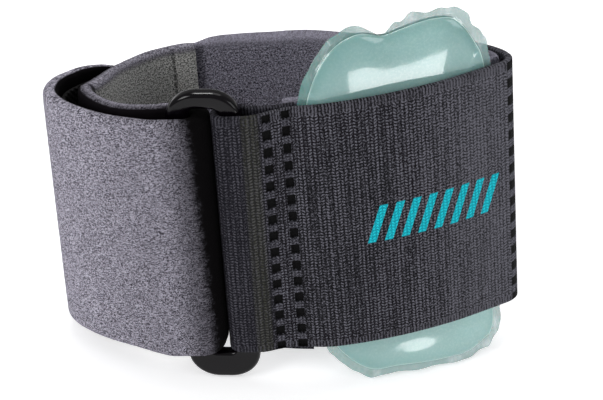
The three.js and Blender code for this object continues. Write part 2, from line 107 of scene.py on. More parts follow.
def spline(points, turn):
    """A closed centripetal spline through flat points, at a share of the way round."""
    count = len(points)
    place = (turn % 1) * count
    row = int(place) % count
    weight = place - int(place)
    p = [points[(row + k - 1) % count] for k in range(4)]
    gap = [max(1e-9, math.dist(p[k], p[k + 1]) ** 0.5) for k in range(3)]
    out = []
    for axis in (0, 1):
        a, b, c, d = (q[axis] for q in p)
        lead = ((b - a) / gap[0] - (c - a) / (gap[0] + gap[1]) + (c - b) / gap[1]) * gap[1]
        trail = ((c - b) / gap[1] - (d - b) / (gap[1] + gap[2]) + (d - c) / gap[2]) * gap[1]
        square = -3 * b + 3 * c - 2 * lead - trail
        cube = 2 * b - 2 * c + lead + trail
        out.append(b + weight * (lead + weight * (square + weight * cube)))
    return out


# %% [markdown]
# The spline is sampled once. A place on the band is then a length in millimetres along
# it, from the right end over the front to the left end and round the back.

# %% Places along the line
ROUTE_SAMPLES, SOFT_SAMPLES = 40, 4
ROUTE_POINTS = [(row[0] * LOOP_WIDTH, row[1] * LOOP_DEPTH) for row in ROUTE]
SAMPLES = len(ROUTE) * ROUTE_SAMPLES
plan = [spline(ROUTE_POINTS, i / SAMPLES) for i in range(SAMPLES + 1)]
lengths = [0.0]
for i in range(SAMPLES):
    lengths.append(lengths[-1] + math.dist(plan[i], plan[i + 1]))
ROUTE_LENGTH = lengths[-1]


def turn_at(length):
    """The share of the way round at a length along the line."""
    wanted = length % ROUTE_LENGTH
    low, high = 0, SAMPLES
    while high - low > 1:
        middle = (low + high) // 2
        if lengths[middle] <= wanted:
            low = middle
        else:
            high = middle
    return (low + (wanted - lengths[low]) / (lengths[high] - lengths[low])) / SAMPLES


COLUMNS = {"bar": 2, "hook": 3, "bulge": 4, "loft": 5}


def column(name, length):
    """A column of the route's rows at a length, softened over a short stretch."""
    total = 0
    for i in range(-SOFT_SAMPLES, SOFT_SAMPLES + 1):
        place = turn_at(length + i / SOFT_SAMPLES * SOFT_STRETCH) * len(ROUTE)
        row = int(place) % len(ROUTE)
        near, far = ROUTE[row][COLUMNS[name]], ROUTE[(row + 1) % len(ROUTE)][COLUMNS[name]]
        total += lerp(near, far, place - int(place))
    return total / (2 * SOFT_SAMPLES + 1)


def place_at(length, outward=0.0):
    """The place, outward normal and way along at a length, set off to the outside."""
    turn = turn_at(length)
    half_sample = 0.5 / SAMPLES
    ahead, behind = spline(ROUTE_POINTS, turn + half_sample), spline(ROUTE_POINTS, turn - half_sample)
    along = Vector((ahead[0] - behind[0], ahead[1] - behind[1])).normalized()
    normal = Vector((-along.y, along.x))
    return Vector(spline(ROUTE_POINTS, turn)) + normal * outward, normal, along


def length_where(across, is_front):
    """The length at which the line crosses a distance from the middle."""
    for i in range(SAMPLES):
        a, b = plan[i][0], plan[i + 1][0]
        if (a - across) * (b - across) <= 0 and (i + 1 < SAMPLES / 2) == is_front:
            return lerp(lengths[i], lengths[i + 1], (across - a) / (b - a))
    return 0.0


print("route", round(ROUTE_LENGTH, 1), "mm round")

# %% [markdown]
# The worn band isn't quite upright: its left leans and its back sags. Every point goes
# through this one warp, and then through the turn that stands the band on its feet.

# %% Lean and rest
MIDDLE_LEAN_AT, LEFT_LEAN_AT, LEAN_EASE = LOOP_WIDTH * 0.04, -LOOP_WIDTH * 0.3, LOOP_WIDTH * 0.12
SAG_FROM, SAG_OVER = LOOP_DEPTH * 0.15, LOOP_DEPTH * 0.45


def settle(x, y, z):
    lean = 0.5 * smooth((MIDDLE_LEAN_AT - x) / LEAN_EASE)
    lean += 0.5 * smooth((LEFT_LEAN_AT - x) / LEAN_EASE)
    lean *= z / BAND_WIDTH - 0.5
    sag = BACK_SAG * smooth((y - SAG_FROM) / SAG_OVER)
    return Vector((x + LEAN_ACROSS * lean, y - LEAN_FORWARD * lean, z - sag))


turns = [Matrix.Rotation(math.radians(a), 4, axis) for a, axis in zip(REST_TURN, "XYZ")]
REST = Matrix.Translation(Vector(REST_SHIFT) * MM) @ turns[0] @ turns[1] @ turns[2] @ Matrix.Scale(MM, 4)

buckle_length = length_where(BUCKLE_AT, True)
bar_offset = (SLOT_WIDTH + BUCKLE_THICKNESS) / 2
strap_fold, elastic_fold = buckle_length + bar_offset, buckle_length - bar_offset
cell_length = length_where(CELL_AT, True)
lap_end = length_where(LAP_AT, False)
pad_end = lap_end - LAP_LENGTH
free_end = length_where(FREE_END_AT, False)
bar_opening = BUCKLE_THICKNESS + CLEARANCE
return_end = length_where(RETURN_END_AT, True)
print("buckle at", round(buckle_length, 1), "cell at", round(cell_length, 1), "mm along")

# %% [markdown]
# The layers open where the buckle's bar, the hook patch and the air cell sit between
# them. These are the same rules as in the CAD source.

# %% Layers
SKIVED, SKIVE_LENGTH, SKIVE_DROP, LAP_THIN, CELL_FULLNESS = 0.5, 16, 3.6, 0.35, 0.6


def pad_thickness(length):
    """The lining's foam, skived where the strap is lapped over its end."""
    skived = lerp(SKIVED, 1, smooth(((length - pad_end) % ROUTE_LENGTH) / SKIVE_LENGTH))
    return PAD_THICKNESS * column("loft", length) * skived


def strap_opening(length):
    """How far the strap's two runs part."""
    lap = smooth((length - pad_end + LAP_LENGTH) / LAP_LENGTH)
    opening = column("bar", length) * bar_opening
    opening += column("hook", length) * (HOOK_THICKNESS + CLEARANCE)
    lapped = lap * (pad_thickness(max(length, pad_end)) + CLEARANCE)
    return opening + column("bulge", length) * LEFT_BULGE + lapped


def strap_thickness(length):
    return STRAP_THICKNESS * (1 - LAP_THIN * smooth((length - pad_end + LAP_LENGTH) / LAP_LENGTH))


def cell_thickness(share):
    return FLANGE_THICKNESS + (CELL_THICKNESS - FLANGE_THICKNESS) * (1 - share * share) ** CELL_FULLNESS


def return_opening(length):
    """How far the elastic's return stands behind its front run."""
    ramp = elastic_fold - return_end - 2 * RETURN_SEWN
    return bar_opening * smooth((length - return_end - RETURN_SEWN) / ramp)


def pocket_opening(length):
    """How far the lining stands behind the elastic, for the air cell."""
    swell = smooth((CELL_WIDTH / 2 - abs(length - cell_length)) / CELL_SWELL)
    room = lerp(ELASTIC_THICKNESS, CELL_THICKNESS, swell)
    closing = smooth((length + POCKET_CLOSING * 0.6) / POCKET_CLOSING)
    if length >= ROUTE_LENGTH / 2:
        return 0.0
    return closing * (room + 2 * CLEARANCE + return_opening(length))


def run(start, end, step, outward_at, thickness_at, low=0.0, high=BAND_WIDTH, folded=False):
    """Stations of a run: place, face normal, thickness, low, high, length and swell."""
    count = max(2, round(abs(end - start) / step))
    out = []
    for i in range(count + 1):
        length = lerp(start, end, i / count)
        place, normal, _ = place_at(length, outward_at(length))
        face_normal = -normal if folded else normal
        out.append([place, face_normal, thickness_at(length), low, high, length, 0.0])
    return out


def fold(length, side, thickness, steps=22, swell=0.0):
    """Stations of a half turn round the buckle's bar."""
    radius = BUCKLE_THICKNESS / 2 + CLEARANCE + thickness / 2
    middle, normal, along = place_at(length, -(BUCKLE_THICKNESS / 2 + CLEARANCE))
    out = []
    for i in range(1, steps):
        angle = i / steps * math.pi
        way = normal * math.cos(angle) - along * (math.sin(angle) * side)
        swollen = swell * math.sin(angle)
        out.append([middle + way * radius, way, thickness, 0.0, BAND_WIDTH, length, swollen])
    return out


print("strap opens", round(strap_opening(buckle_length), 2), "mm at the buckle")

# %% [markdown]
# Every soft piece starts as a flat grid, like the cloth before it is sewn. The grid is
# rolled into a sleeve round the piece's section and laid along the parting line. Two UV
# maps go with it: "cloth" holds millimetres along and up, and "face" tells the two faces
# and the distance from the start apart.

# %% Rolled grids
MERGE_WITHIN, SMOOTH_UNDER = 0.000004, math.radians(50)


def faces_at_edges(mesh):
    """How many faces meet at each edge."""
    work = bmesh.new()
    work.from_mesh(mesh)
    counts = [len(edge.link_faces) for edge in work.edges]
    work.free()
    return counts


def rolled(name, rows, cols, point, cloth, face, cap=False):
    """A grid of rows x cols whose corners are moved to point(i, j); columns meet."""
    bpy.ops.object.select_all(action="DESELECT")
    bpy.ops.mesh.primitive_grid_add(x_subdivisions=cols, y_subdivisions=rows - 1, size=1)
    piece = bpy.context.object
    piece.name = name
    mesh = piece.data
    while mesh.uv_layers:
        mesh.uv_layers.remove(mesh.uv_layers[0])
    width = cols + 1
    ends = []
    for index, vertex in enumerate(mesh.vertices):
        i, j = divmod(index, width)
        vertex.co = REST @ point(i, j % cols)
        ends.append((i, j))
    for title, rule in (("cloth", cloth), ("face", face)):
        layer = mesh.uv_layers.new(name=title)
        values = [0.0] * (2 * len(mesh.loops))
        for k, loop in enumerate(mesh.loops):
            i, j = ends[loop.vertex_index]
            values[2 * k], values[2 * k + 1] = rule(i, j)
        layer.data.foreach_set("uv", values)
    mesh.uv_layers.active_index = 0
    mesh.uv_layers[0].active_render = True
    bpy.ops.object.mode_set(mode="EDIT")
    bpy.ops.mesh.select_all(action="SELECT")
    bpy.ops.mesh.remove_doubles(threshold=MERGE_WITHIN)
    bpy.ops.mesh.select_all(action="DESELECT")
    if cap:
        bpy.ops.mesh.select_non_manifold(extend=False)
        bpy.ops.mesh.fill_holes(sides=0)
    bpy.ops.mesh.select_all(action="SELECT")
    bpy.ops.mesh.normals_make_consistent(inside=False)
    bpy.ops.object.mode_set(mode="OBJECT")
    bpy.ops.object.shade_smooth_by_angle(angle=SMOOTH_UNDER)
    tris = sum(len(p.vertices) - 2 for p in mesh.polygons)
    open_edges = sum(1 for count in faces_at_edges(mesh) if count != 2)
    print(name, tris, "triangles,", open_edges, "open edges")
    return piece


print("edges are smoothed under", round(math.degrees(SMOOTH_UNDER)), "degrees")

# %% [markdown]
# A strip's section is its front face, a rounded upper edge, the back face and a rounded
# lower edge. Cut foam is softer at its ends, fuller in its middle and never quite even,
# so the section is eased, crowned and given a fine nap.

# %% Strips
CORNER_STEPS, CUT_EASE, CROWN_OVER, NAP_GRAIN, SWELL_ABOVE, SWELL_EASE = 5, 0.45, 9, 1.7, 1, 3.5
ROUND_LIMIT, FOAM_ROWS = 0.96, 74


def edge_arc(sign, share):
    """The rounded edge between the two faces."""
    turns = [k / (2 * CORNER_STEPS) * math.pi for k in range(1, 2 * CORNER_STEPS)]
    return [(sign * math.cos(turn), share, sign * math.sin(turn)) for turn in turns]


def strip(name, path, rounding, up_steps, nap=0.0, crown=0.0, dent=None, ease=2.0, first=0):
    """A strip with rounded edges along its stations, softly crowned, with a fine nap."""
    profile = [(1.0, k / up_steps, 0) for k in range(up_steps + 1)] + edge_arc(1, 1.0)
    profile += [(-1.0, k / up_steps, 0) for k in range(up_steps, -1, -1)] + edge_arc(-1, 0.0)
    cols = len(profile)
    travel = [0.0]
    for a, b in zip(path, path[1:]):
        travel.append(travel[-1] + (b[0] - a[0]).length)
    total = travel[-1]
    # The cloth's own length runs on through the folds, so its threads aren't stretched.
    along_cloth = [path[i][5] if i < first else travel[i] - travel[max(0, first - 1)]
                   + (path[first - 1][5] if first else 0) for i in range(len(path))]

    def height(i, j):
        thickness, low, high = path[i][2:5]
        edge_round = min(rounding, thickness / 2 * ROUND_LIMIT)
        _, share, bulge = profile[j % cols]
        return lerp(low + edge_round, high - edge_round, share) + bulge * edge_round

    def point(i, j):
        place, normal, thickness, low, high, length, swell = path[i]
        half = thickness / 2
        side = profile[j % cols][0]
        z = height(i, j)
        # The cut ends and edges are eased, as soft foam is after cutting.
        end = min(travel[i], total - travel[i])
        half *= 1 - CUT_EASE * (1 - smooth(end / ease)) if ease else 1
        edge = min(z - low, high - z)
        half += crown * smooth(edge / CROWN_OVER) - crown
        outward = side * half
        if dent and side > 0.99:
            outward -= dent(length, z)
        # Foam squeezed in the slot swells towards the elastic, but not at its lower edge.
        outward += swell * max(0.0, side) * smooth((z - SWELL_ABOVE) / SWELL_EASE)
        flat = place + normal * outward
        p = settle(flat.x, flat.y, z)
        if nap:
            p = p + noise.noise_vector(p * NAP_GRAIN) * nap
        return p

    def cloth(i, j):
        return along_cloth[i], height(i, j)

    def face(i, j):
        return 0.5 + 0.5 * profile[j % cols][0], travel[i]

    piece = rolled(name, len(path), cols, point, cloth, face, cap=True)
    piece["cloth_length"] = total
    print(name, "cut flat", round(total, 1), "x", round(max(s[4] - s[3] for s in path), 1))
    return piece


print("strips are softened over", CROWN_OVER, "mm at their edges")

# %% [markdown]
# The strap is brushed loop cloth on foam, cut as one long strip. It runs from its free
# end over the front, turns round the buckle's bar and comes back inside to the lap seam.
# It is modelled as one closed strip, because its folds share one thickness. The free end
# is thinned and its corners are rounded, so it lies close to the band.

# %% Strap
TAIL_REACH, TAIL_EASE, TAIL_CORNER, TAIL_THIN, FOLD_SWELL = 5.5, 16, 7, 0.6, 0.95
OUTER_STEP, INNER_STEP = 0.8, 1.0
tail_end = free_end + TAIL_REACH


def tail_thickness(length):
    return STRAP_THICKNESS * lerp(TAIL_THIN, 1, smooth((tail_end - length) / TAIL_EASE))


def inner_out(length):
    return -(CLEARANCE + strap_opening(length) + strap_thickness(length) / 2)


outer_run = run(tail_end, strap_fold, OUTER_STEP, lambda n: tail_thickness(n) / 2, tail_thickness)
for station in outer_run:
    share = min(1.0, (tail_end - station[5]) / TAIL_EASE)
    drop = TAIL_CORNER * (1 - math.sqrt(share * (2 - share)))
    station[3], station[4] = drop, BAND_WIDTH - drop
inner_run = run(strap_fold, lap_end, INNER_STEP, inner_out, strap_thickness, folded=True)
turn_run = fold(strap_fold, 1, STRAP_THICKNESS, swell=FOLD_SWELL)
strap = strip("strap_dressed", outer_run + turn_run + inner_run, STRAP_ROUNDING, FOAM_ROWS,
              nap=0.07, crown=0.08)

# %% [markdown]
# The hook tape is a stiff woven patch sewn near the strap's free end. It holds the outer
# run to the loop cloth behind it, so it only shows as a black edge between the two.

# %% Hook tape
HOOK_ROUNDING, HOOK_STEP, HOOK_ROWS = 0.5, 1.5, 60
hook_start = length_where(HOOK_START_AT, True)
hook_run = run(hook_start, free_end, HOOK_STEP, lambda n: -(CLEARANCE + HOOK_THICKNESS / 2),
               lambda n: HOOK_THICKNESS, HOOK_MARGIN, BAND_WIDTH - HOOK_MARGIN)
hook = strip("hook_tab_dressed", hook_run, HOOK_ROUNDING, HOOK_ROWS, ease=0)

# %% [markdown]
# The elastic is woven with two columns of square openings, where the warp is left out
# and ladder threads cross. The openings are real recesses here. The band goes round the
# buckle's other bar and is sewn to itself, and at the right it turns the loop's end.

# %% Elastic
SQUARE_PITCH, SQUARE_FIRST, SQUARE_WIDE, SQUARE_TALL, SQUARE_DEPTH = 5.25, 1.25, 2.4, 2.85, 0.75
FINE_STEP, PLAIN_STEP, RETURN_STEP, NEAR_SQUARES, WEAVE_ROWS = 0.3, 0.9, 1.4, 2.6, 190
FRONT_SQUARES_AT, END_SQUARES = (-7.7, -2.0), [1.0, -4.9]
front_columns = [length_where(across, True) for across in FRONT_SQUARES_AT]
square_columns = front_columns + END_SQUARES


def square_depth(length, z):
    """How deep the openings are sunk at a place on the elastic."""
    depth = 0.0
    row = (z - SQUARE_FIRST) / SQUARE_PITCH
    off = abs(row - round(row)) * SQUARE_PITCH
    tall = smooth((SQUARE_TALL / 2 + 0.25 - off) / 0.5)
    for middle in front_columns:
        wide = smooth((SQUARE_WIDE / 2 + 0.2 - abs(length - middle)) / 0.4)
        depth = max(depth, wide * tall)
    return SQUARE_DEPTH * depth


def graded(start, end):
    """Stations along the elastic: fine steps where the openings are."""
    out, at = [start], start
    while at < end - 0.01:
        near = min(abs(at + 0.5 - c) for c in square_columns)
        at = min(end, at + (FINE_STEP if near < NEAR_SQUARES else PLAIN_STEP))
        out.append(at)
    return out


elastic_path = []
for n in graded(-ELASTIC_TAIL, elastic_fold):
    spot, way, _ = place_at(n, ELASTIC_THICKNESS / 2)
    elastic_path.append([spot, way, ELASTIC_THICKNESS, 0.0, BAND_WIDTH, n, 0.0])
first_run = len(elastic_path)
elastic_path += fold(elastic_fold, -1, ELASTIC_THICKNESS, steps=14)
back_run = run(elastic_fold, return_end, RETURN_STEP,
               lambda n: -(CLEARANCE + return_opening(n) + ELASTIC_THICKNESS / 2),
               lambda n: ELASTIC_THICKNESS, folded=True)
for i, station in enumerate(back_run):
    station[3] = -RETURN_DROP * smooth(2 * i / len(back_run))
elastic = strip("elastic_band_dressed", elastic_path + back_run, ELASTIC_ROUNDING, WEAVE_ROWS,
                nap=0.02, dent=square_depth, ease=0, first=first_run)

# %% [markdown]
# The lining is knitted cloth on foam. It starts under the lap seam at the back, goes
# round the right end and runs behind the air cell to a short tongue near the buckle.

# %% Lining pad
PAD_STEP = 1.1
tongue_end = length_where(TONGUE_END_AT, True)


def pad_out(length):
    return -(CLEARANCE + pocket_opening(length) + pad_thickness(length) / 2)


pad_run = run(pad_end - ROUTE_LENGTH, 0, PAD_STEP, pad_out, pad_thickness)[:-1]
for station in pad_run:
    station[4] -= SKIVE_DROP * (1 - smooth((station[5] + ROUTE_LENGTH - pad_end) / SKIVE_LENGTH))
pad_run += run(0, tongue_end, PAD_STEP, pad_out, pad_thickness)
pad = strip("lining_pad_dressed", pad_run, PAD_ROUNDING, FOAM_ROWS, nap=0.08, crown=0.1)

# %% [markdown]
# The ring buckle is moulded plastic: a rounded plate with one long slot. Its section is
# swept round the slot, so the rim has the same soft edge inside and outside.

# %% Buckle
def rounded_outline(width, length, corner, middle, angle):
    """A point of a round-cornered outline. angle goes once round, in step for both outlines."""
    half_x, half_y = width / 2 - corner, length / 2 - corner
    eighth, share = divmod((angle % 1) * 8, 1)
    quarter = int(eighth) // 2

    def corner_point(index, turn):
        sign_x, sign_y = ((1, 1), (-1, 1), (-1, -1), (1, -1))[index % 4]
        return Vector((sign_x * half_x + corner * math.cos(turn),
                       middle + sign_y * half_y + corner * math.sin(turn)))

    if eighth % 2 == 0:
        return corner_point(quarter, (quarter + share) * math.pi / 2)
    side_turn = (quarter + 1) * math.pi / 2
    return corner_point(quarter, side_turn).lerp(corner_point(quarter + 1, side_turn), share)


rise = BAND_WIDTH / 2 - SLOT_ABOVE_MIDDLE
seat, seat_normal, _ = place_at(buckle_length, -(CLEARANCE + BUCKLE_THICKNESS / 2))
buckle_middle = settle(seat.x, seat.y, rise)
buckle_up = (settle(seat.x, seat.y, rise + 1) - buckle_middle).normalized()
buckle_across = buckle_up.cross(Vector((seat_normal.x, seat_normal.y, 0))).normalized()
buckle_out = buckle_across.cross(buckle_up)
SECTION, ROUND, EDGE_ROUND = 28, 224, 1.35


def buckle_point(i, j):
    angle = (i % ROUND) / ROUND
    outer = rounded_outline(BUCKLE_WIDTH, BUCKLE_LENGTH, BUCKLE_CORNER, 0, angle)
    inner = rounded_outline(SLOT_WIDTH, SLOT_LENGTH, SLOT_CORNER, SLOT_ABOVE_MIDDLE, angle)
    half = (outer - inner).length / 2
    corner, step = divmod(j, SECTION // 4)
    turn = (corner + step / (SECTION // 4 - 1)) * math.pi / 2
    sign_x, sign_z = (1, -1, -1, 1)[corner], (1, 1, -1, -1)[corner]
    across = sign_x * (half - EDGE_ROUND) + EDGE_ROUND * math.cos(turn)
    out = sign_z * (BUCKLE_THICKNESS / 2 - EDGE_ROUND) + EDGE_ROUND * math.sin(turn)
    flat = (outer + inner) / 2 + (outer - inner).normalized() * across
    return buckle_middle + buckle_across * flat.x + buckle_up * flat.y + buckle_out * out


buckle = rolled("buckle_dressed", ROUND + 1, SECTION, buckle_point,
                lambda i, j: (i / ROUND, j / SECTION), lambda i, j: (i / ROUND, j / SECTION))

# %% [markdown]
# The air cell is two sheets of soft film welded round the rim, with a little air inside.
# The welded flange stays flat but ripples a little where nothing presses on it.

# %% Air cell
SPOKES, RINGS = 300, 34
WELD_IN, RAGGED, RAGGED_GRAIN, RAGGED_SEED = 2.4, 1.9, 0.24, 4.0
LOOSE_HEIGHT, LOOSE_FROM, LOOSE_EASE = 30, -6, 8
RIM_NOTCH, WELD_NOTCH, SWELL_NOTCH = 0.459, 0.476, 0.49
FILM_AT_WELD, FILM_AT_EDGE, WELD_BEAD, BEAD_WIDTH = 0.55, 0.4, 0.35, 0.3
FREE_ABOVE, FREE_BELOW, FREE_EASE, FLANGE_RINGS, NOTCH_HOLD = 37, 40, 4, 8, 8
# The flange's ripples: how high, how many round the rim, and where they start.
RIPPLES = [(0.3, 19, 0.0), (0.22, 31, 1.3), (0.3, 9, 0.0)]


def cell_line(inset, notch):
    """Spokes of the cell's outline, drawn in by inset, with the notch at its own height."""
    wide, tall = CELL_WIDTH - 2 * inset, CELL_HEIGHT - 2 * inset
    points = [(a * wide, (notch if u == RIM_NOTCH else u) * tall) for a, u in CELL_OUTLINE]
    return [Vector(spline(points, k / SPOKES)) for k in range(SPOKES)]


rim = cell_line(0, RIM_NOTCH)
weld_line = cell_line(WELD_IN, WELD_NOTCH)
swell_line = cell_line(WELD_IN, SWELL_NOTCH)
cell_rows = 2 * (RINGS + FLANGE_RINGS + 1)


def cell_share(ring):
    """0 at the middle, 1 at the weld, and up to 2 over the flange."""
    if ring <= RINGS:
        return math.sin(ring / RINGS * 0.5 * math.pi)
    return 1 + (ring - RINGS) / FLANGE_RINGS


def cell_point(i, j):
    side = 1 if i <= RINGS + FLANGE_RINGS else -1
    ring = i if side > 0 else cell_rows - 1 - i
    share = cell_share(ring)
    flange = max(0.0, share - 1)
    inside = min(1.0, share)
    spoke = j % SPOKES
    swollen = swell_line[spoke].lerp(weld_line[spoke], inside ** NOTCH_HOLD) * inside
    # The trimmed edge is a little ragged where it stands free above the band.
    loose = smooth(rim[spoke].y / LOOSE_HEIGHT) * smooth((rim[spoke].x - LOOSE_FROM) / LOOSE_EASE) * RAGGED
    loose *= noise.noise((*(rim[spoke] * RAGGED_GRAIN), RAGGED_SEED))
    x, up = swollen.lerp(rim[spoke] + rim[spoke].normalized() * loose, flange)
    spread = min(inside, abs(x) / (CELL_WIDTH / 2 - FLANGE_WIDTH))
    z = CELL_RISE + up
    curl = CELL_CURL * smooth(-z / (CELL_HEIGHT / 2 - CELL_RISE)) * (1 - spread ** 2)
    free_rim = smooth((up - FREE_ABOVE) / FREE_EASE) + smooth((-up - FREE_BELOW) / FREE_EASE)
    thick = cell_thickness(inside)
    wave = 0.0
    if flange > 0:
        thick = lerp(FILM_AT_WELD, FILM_AT_EDGE, flange)
        turn = j / SPOKES * 2 * math.pi
        wave = sum(high * math.sin(count * turn + start) for high, count, start in RIPPLES)
        wave *= flange ** 1.5 * min(1.0, free_rim)
        if flange < BEAD_WIDTH:
            thick += WELD_BEAD * math.sin(flange / BEAD_WIDTH * math.pi)
    middle = CLEARANCE + cell_thickness(spread) / 2
    place, _, _ = place_at(cell_length - x, -middle + curl + side * thick / 2 + wave)
    return settle(place.x, place.y, z)


cell = rolled("air_cell_dressed", cell_rows, SPOKES, cell_point,
              lambda i, j: tuple(rim[j % SPOKES]),
              lambda i, j: (cell_share(min(i, cell_rows - 1 - i)) / 2, j / SPOKES))

# %% [markdown]
# Each dressed piece takes over from its CAD node and moves with the band's one body.
# The foam pieces and the air cell are padded pieces.

# %% Frame
for piece, node, slot_name in (
    (strap, "strap", "strap_foam"), (hook, "hook_tab", "hook_nylon"),
    (elastic, "elastic_band", "woven_elastic"), (pad, "lining_pad", "lining_foam"),
    (cell, "air_cell", "cell_film"), (buckle, "buckle", "buckle_plastic"),
):
    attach(piece, "root")
    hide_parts(node)
print("six pieces ride on the band's one body, three of them padded")

# %% [markdown]
# Shader sums are written with one small class, so that a finish reads like a formula.

# %% Shader tools
class Sock:
    """A socket of a node tree, with sums that add their own nodes."""

    def __init__(self, tree, socket):
        self.tree, self.socket = tree, socket

    def node(self, kind, out=0, props=None, **inputs):
        made = self.tree.nodes.new(kind)
        for key, value in (props or {}).items():
            setattr(made, key, value)
        for key, value in inputs.items():
            by_place = key[0] == "i" and key[1:].isdigit()
            target = made.inputs[int(key[1:]) if by_place else key.replace("_", " ")]
            if isinstance(value, Sock):
                self.tree.links.new(value.socket, target)
            else:
                target.default_value = value
        return Sock(self.tree, made.outputs[out])

    def math(self, how, *others):
        values = {f"i{k + 1}": v for k, v in enumerate(others)}
        return self.node("ShaderNodeMath", props={"operation": how}, i0=self, **values)

    def __add__(self, other):
        return self.math("ADD", other)

    def __sub__(self, other):
        return self.math("SUBTRACT", other)

    def __mul__(self, other):
        return self.math("MULTIPLY", other)

    def __truediv__(self, other):
        return self.math("DIVIDE", other)

    def __rsub__(self, other):
        return (self * -1) + other

    __radd__, __rmul__ = __add__, __mul__

    def step(self, low, high):
        """0 below low, 1 above high, eased between."""
        return self.node("ShaderNodeMapRange", props={"interpolation_type": "SMOOTHSTEP"},
                         i0=self, i1=low, i2=high, i3=0.0, i4=1.0)

    def mix(self, a, b):
        """Blend of two colours by this value."""
        return self.node("ShaderNodeMix", out=2, props={"data_type": "RGBA"}, i0=self, i6=a, i7=b)

    def scaled(self, x, y, z=1.0):
        return self.node("ShaderNodeVectorMath", props={"operation": "MULTIPLY"}, i0=self, i1=(x, y, z))

    def noise(self, scale, detail=2.0, rough=0.5):
        return self.node("ShaderNodeTexNoise", Vector=self, Scale=scale, Detail=detail, Roughness=rough)


print("helpers", [name for name in vars(Sock) if name[0] != "_"])

# %% [markdown]
# Each finish starts from a fresh material, reads the piece's two UV maps, and feeds its
# colour and relief into the one shader.

# %% Finish tools
def colour(r, g, b):
    """A colour given as the eye reads it, 0 to 255, in the renderer's own scale."""
    line = [((v / 255 + 0.055) / 1.055) ** 2.4 if v > 10 else v / 255 / 12.92 for v in (r, g, b)]
    return (*line, 1.0)


def finish_of(piece, name, **constants):
    """A fresh material on the piece. Returns its tree start and its shader."""
    material = bpy.data.materials.new(name)
    material.use_nodes = True
    tree = material.node_tree
    shader = tree.nodes["Principled BSDF"]
    for key, value in constants.items():
        shader.inputs[key.replace("_", " ")].default_value = value
    piece.data.materials.clear()
    piece.data.materials.append(material)
    coords = tree.nodes.new("ShaderNodeTexCoord")
    return Sock(tree, coords.outputs["Object"]), shader


def uv_parts(start, title):
    """The two values of a UV map, and the map itself."""
    whole = start.node("ShaderNodeUVMap", props={"uv_map": title})
    u = start.node("ShaderNodeSeparateXYZ", out=0, Vector=whole)
    v = Sock(start.tree, u.socket.node.outputs[1])
    return u, v, whole


def feed(shader, **values):
    """Links values into the shader's inputs."""
    for key, value in values.items():
        value.tree.links.new(value.socket, shader.inputs[key.replace("_", " ")])


def bump(height, distance, strength=1.0, onto=None):
    inputs = {"Height": height, "Distance": distance, "Strength": strength}
    if onto:
        inputs["Normal"] = onto
    return height.node("ShaderNodeBump", **inputs)


print("mid grey is", round(colour(128, 128, 128)[0], 3), "in the renderer's scale")

# %% [markdown]
# Brushed loop cloth: pale fibres over darker foam, with fine specks that run along the
# brushing. The face towards the gap is a plain black laminate.

# %% Strap finish
def brushed(piece, name, pale, mid, dark, black, split, heather=0.0):
    start, shader = finish_of(piece, name, Roughness=0.95, Specular_IOR_Level=0.06)
    face = uv_parts(start, "face")[0]
    cloth = uv_parts(start, "cloth")[2]
    bend = cloth.noise(0.6, 2.0, 0.5) * 1.6
    lay = cloth.node("ShaderNodeVectorMath", props={"operation": "ADD"},
                     i0=cloth.scaled(0.62, 1.5), i1=bend)
    fibres = lay.noise(2.15, 4.0, 0.9)
    specks = start.noise(2600, 3.0, 0.9)
    clumps = start.noise(210, 3.0, 0.6)
    tone = (fibres * 0.55 + specks * 0.45).step(0.475, 0.535)
    shade = tone.mix(dark, pale)
    shade = (clumps.step(0.3, 0.7) * 0.25).mix(shade, mid)
    if heather:
        stitch = (cloth.scaled(0.8, 1.1).noise(1.1, 3.0, 0.7)).step(0.54, 0.62)
        shade = (stitch * heather).mix(shade, pale)
    back = (specks.step(0.55, 0.75) * 0.5).mix(black, colour(30, 26, 31))
    is_pale = face.step(split - 0.06, split + 0.06)
    shade = is_pale.mix(back, shade)
    normal = bump(fibres * 0.6 + specks * 0.5 + clumps * 0.5, 0.00035, 0.9)
    return start, shader, shade, normal


start, shader, shade, normal = brushed(
    strap, "strap loop cloth", colour(206, 202, 217), colour(132, 129, 142), colour(42, 39, 48),
    colour(9, 7, 9), 0.2)
face, travel, _ = uv_parts(start, "face")
_, up, cloth = uv_parts(start, "cloth")
SEAM_FROM_END = 6.5
strap_total = strap["cloth_length"]
turn_travel = sum((b[0] - a[0]).length for a, b in zip(outer_run, outer_run[1:]))
# Towards the slot a painted shade darkens the nap, and in the fold a painted shadow makes it nearly black.
slot_painted_shade = travel.step(turn_travel - 40, turn_travel - 4) * 0.3
shade = (slot_painted_shade * (1 - travel.step(turn_travel + 2, turn_travel + 5))).mix(shade, colour(40, 38, 44))
bend_start = turn_travel + 1.0 + (BAND_WIDTH - up) * (1.6 / BAND_WIDTH)
shade = ((travel - bend_start).step(-9.0, 1.0) * 0.7).mix(shade, colour(16, 13, 17))
ragged = travel + (start.noise(700, 3.0, 0.7) - 0.5) * 3.0
fold_painted_shadow = (ragged - bend_start).step(-1.0, 1.2) * (1 - travel.step(turn_travel + 9, turn_travel + 12))
shade = fold_painted_shadow.mix(shade, colour(4, 3, 4))
